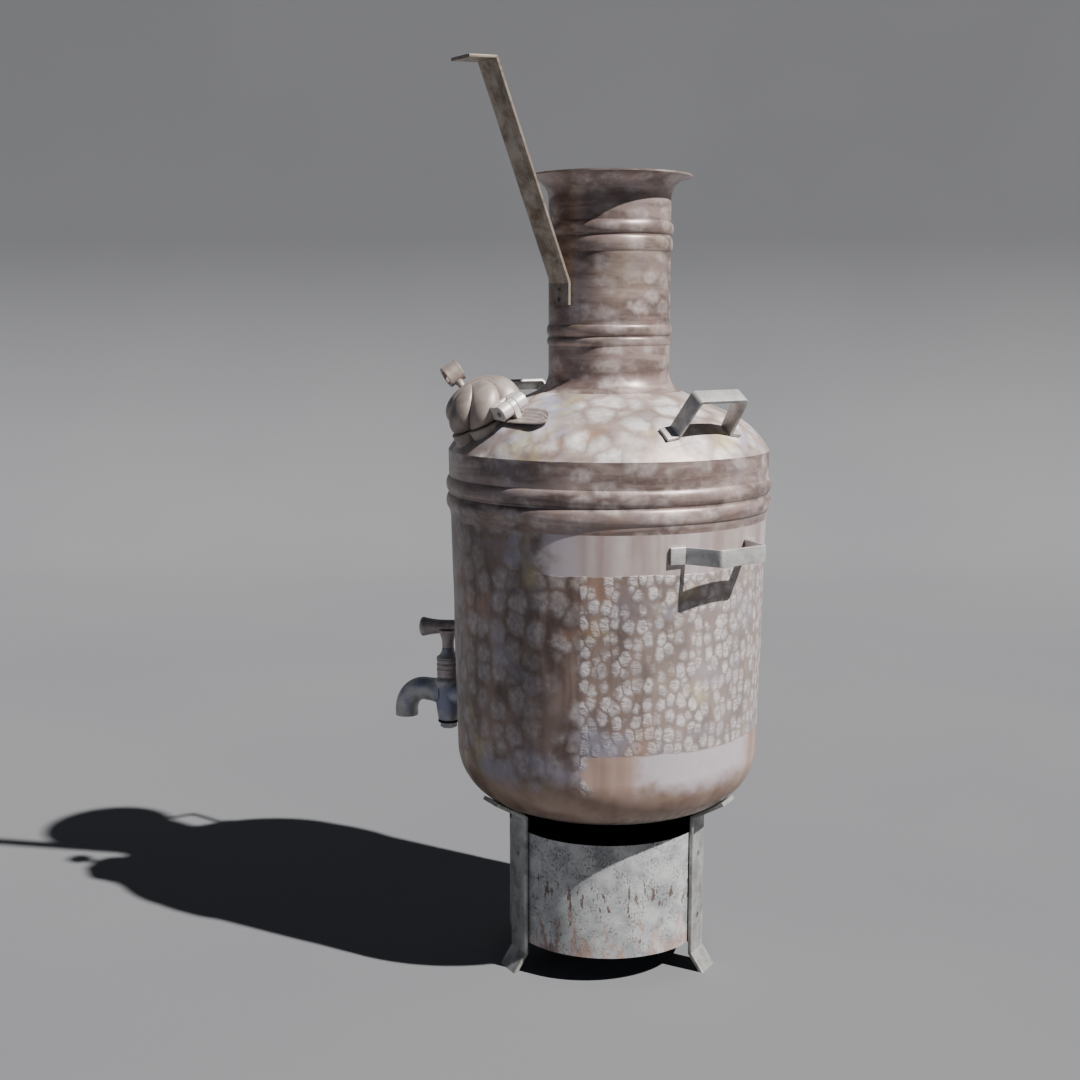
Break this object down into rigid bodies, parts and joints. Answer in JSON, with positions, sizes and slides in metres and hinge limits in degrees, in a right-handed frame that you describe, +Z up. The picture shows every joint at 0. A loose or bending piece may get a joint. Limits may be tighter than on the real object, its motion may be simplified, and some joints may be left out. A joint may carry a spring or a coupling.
{
  "type": "alembic still",
  "caption": "Copper alembic still on a legged fire ring: beaded boiler and neck, strap handles, hinged lobed filler lid, drain tap and a bracket arm for the head.",
  "frame": {"origin": "on the floor, on the upright axis of the boiler and the fire ring", "axes": "+Z up; -Y is the front, with the filler, the arm and the tap on the -X side"},
  "size_m": [0.3975, 0.325, 0.8881],
  "materials": {
    "copper_hammered": "hammered copper with lime scale and tarnish, satin",
    "copper_spun": "spun copper, dull, scale in the grooves",
    "copper_cast": "cast copper alloy, pale oxide",
    "galvanised_steel": "galvanised flat bar, dull",
    "ring_zinc": "galvanised sheet, soot specks and rust",
    "tap_bronze": "bronze casting with blue-grey patina",
    "tap_brown": "brown oxidised bronze",
    "black_rubber": "matt",
    "fibre": "red vulcanised fibre, matt",
    "copper_rivet": "hammered copper rivets",
    "steel_rivet": "zinc plated rivets"
  },
  "bodies": {
    "stand": {"fire_ring": "ring_zinc", "stand_leg_left": "galvanised_steel", "stand_leg_right": "galvanised_steel", "stand_leg_rear": "galvanised_steel", "stand_rivets": "steel_rivet"},
    "boiler": {"boiler_bottom": "copper_spun", "boiler_wall": "copper_hammered", "upper_band": "copper_spun", "shoulder_dome": "copper_hammered", "neck_tube": "copper_spun", "neck_arm": "galvanised_steel", "neck_arm_rivets": "steel_rivet", "shoulder_handle_front": "galvanised_steel", "shoulder_handle_rear": "galvanised_steel", "shoulder_handle_rivets": "steel_rivet", "side_handle_front": "galvanised_steel", "side_handle_rear": "galvanised_steel", "side_handle_rivets": "steel_rivet", "tap_boss": "tap_bronze", "tap_fibre_washer": "fibre", "tap_body": "tap_bronze", "tap_packing": "fibre", "tap_gland_nut": "tap_brown", "tap_gland_follower": "tap_bronze", "filler_neck": "copper_cast", "filler_gasket": "black_rubber", "hinge_leaf": "copper_cast", "hinge_leaf_rivets": "copper_rivet"},
    "tap_key": {"tap_plug": "tap_bronze", "tap_handle": "tap_brown", "tap_handle_pin": "tap_brown", "tap_bottom_washer": "black_rubber", "tap_bottom_nut": "tap_bronze"},
    "lid": {"filler_lid": "copper_cast", "lid_knuckle": "copper_cast", "hinge_pin": "copper_cast", "lid_eye": "copper_cast"}
  },
  "joints": [
    {"name": "boiler_lift", "type": "slide", "parent": "stand", "child": "boiler", "axis": [0, 0, 1], "range_m": [0, 0.2]},
    {"name": "tap_turn", "type": "hinge", "parent": "boiler", "child": "tap_key", "pos_m": [-0.17306, 0.09202, 0.249], "axis": [0, 0, 1], "continuous": true},
    {"name": "lid_hinge", "type": "hinge", "parent": "boiler", "child": "lid", "pos_m": [-0.09167, -0.09146, 0.57078], "axis": [0.6847, 0.5545, 0.473], "range_deg": [0, 110]}
  ]
}
